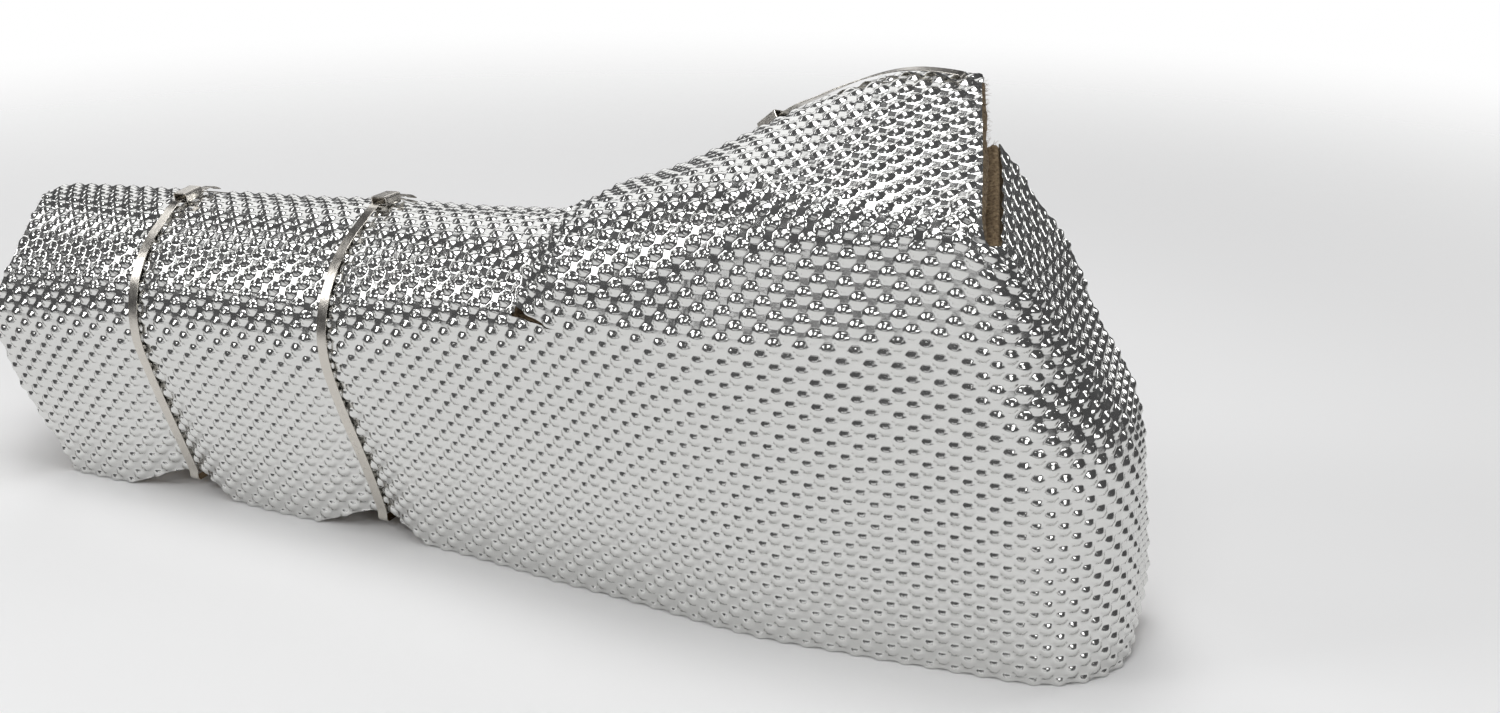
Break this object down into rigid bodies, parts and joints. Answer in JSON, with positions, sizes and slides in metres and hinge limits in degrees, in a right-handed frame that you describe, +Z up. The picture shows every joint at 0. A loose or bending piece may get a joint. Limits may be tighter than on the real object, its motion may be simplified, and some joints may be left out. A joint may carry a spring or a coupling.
{
  "type": "heat and sound insulation mat",
  "caption": "Embossed aluminium-faced fibre mat hand-formed over an exhaust log and its collector, slit at the flap, open below and at the ends, held by steel ball-lock ties.",
  "frame": {"origin": "centre of the bounding box at the level of the hem", "axes": "+Z up, +X along the log from its closed-off left end to the end panel, -Y is the side that the picture shows"},
  "size_m": [0.4886, 0.1384, 0.1999],
  "materials": {
    "facing_foil": "dimple embossed, semi-bright",
    "core_fibre": "compressed brown mineral fibre",
    "tie_steel": "polished stainless strip"
  },
  "bodies": {
    "root": {"embossed_facing": "facing_foil", "fibre_core": "core_fibre", "tie_1_band": "tie_steel", "tie_1_head": "tie_steel", "tie_1_ball": "tie_steel", "tie_2_band": "tie_steel", "tie_2_head": "tie_steel", "tie_2_ball": "tie_steel", "tie_3_band": "tie_steel", "tie_3_head": "tie_steel", "tie_3_ball": "tie_steel"}
  },
  "joints": []
}
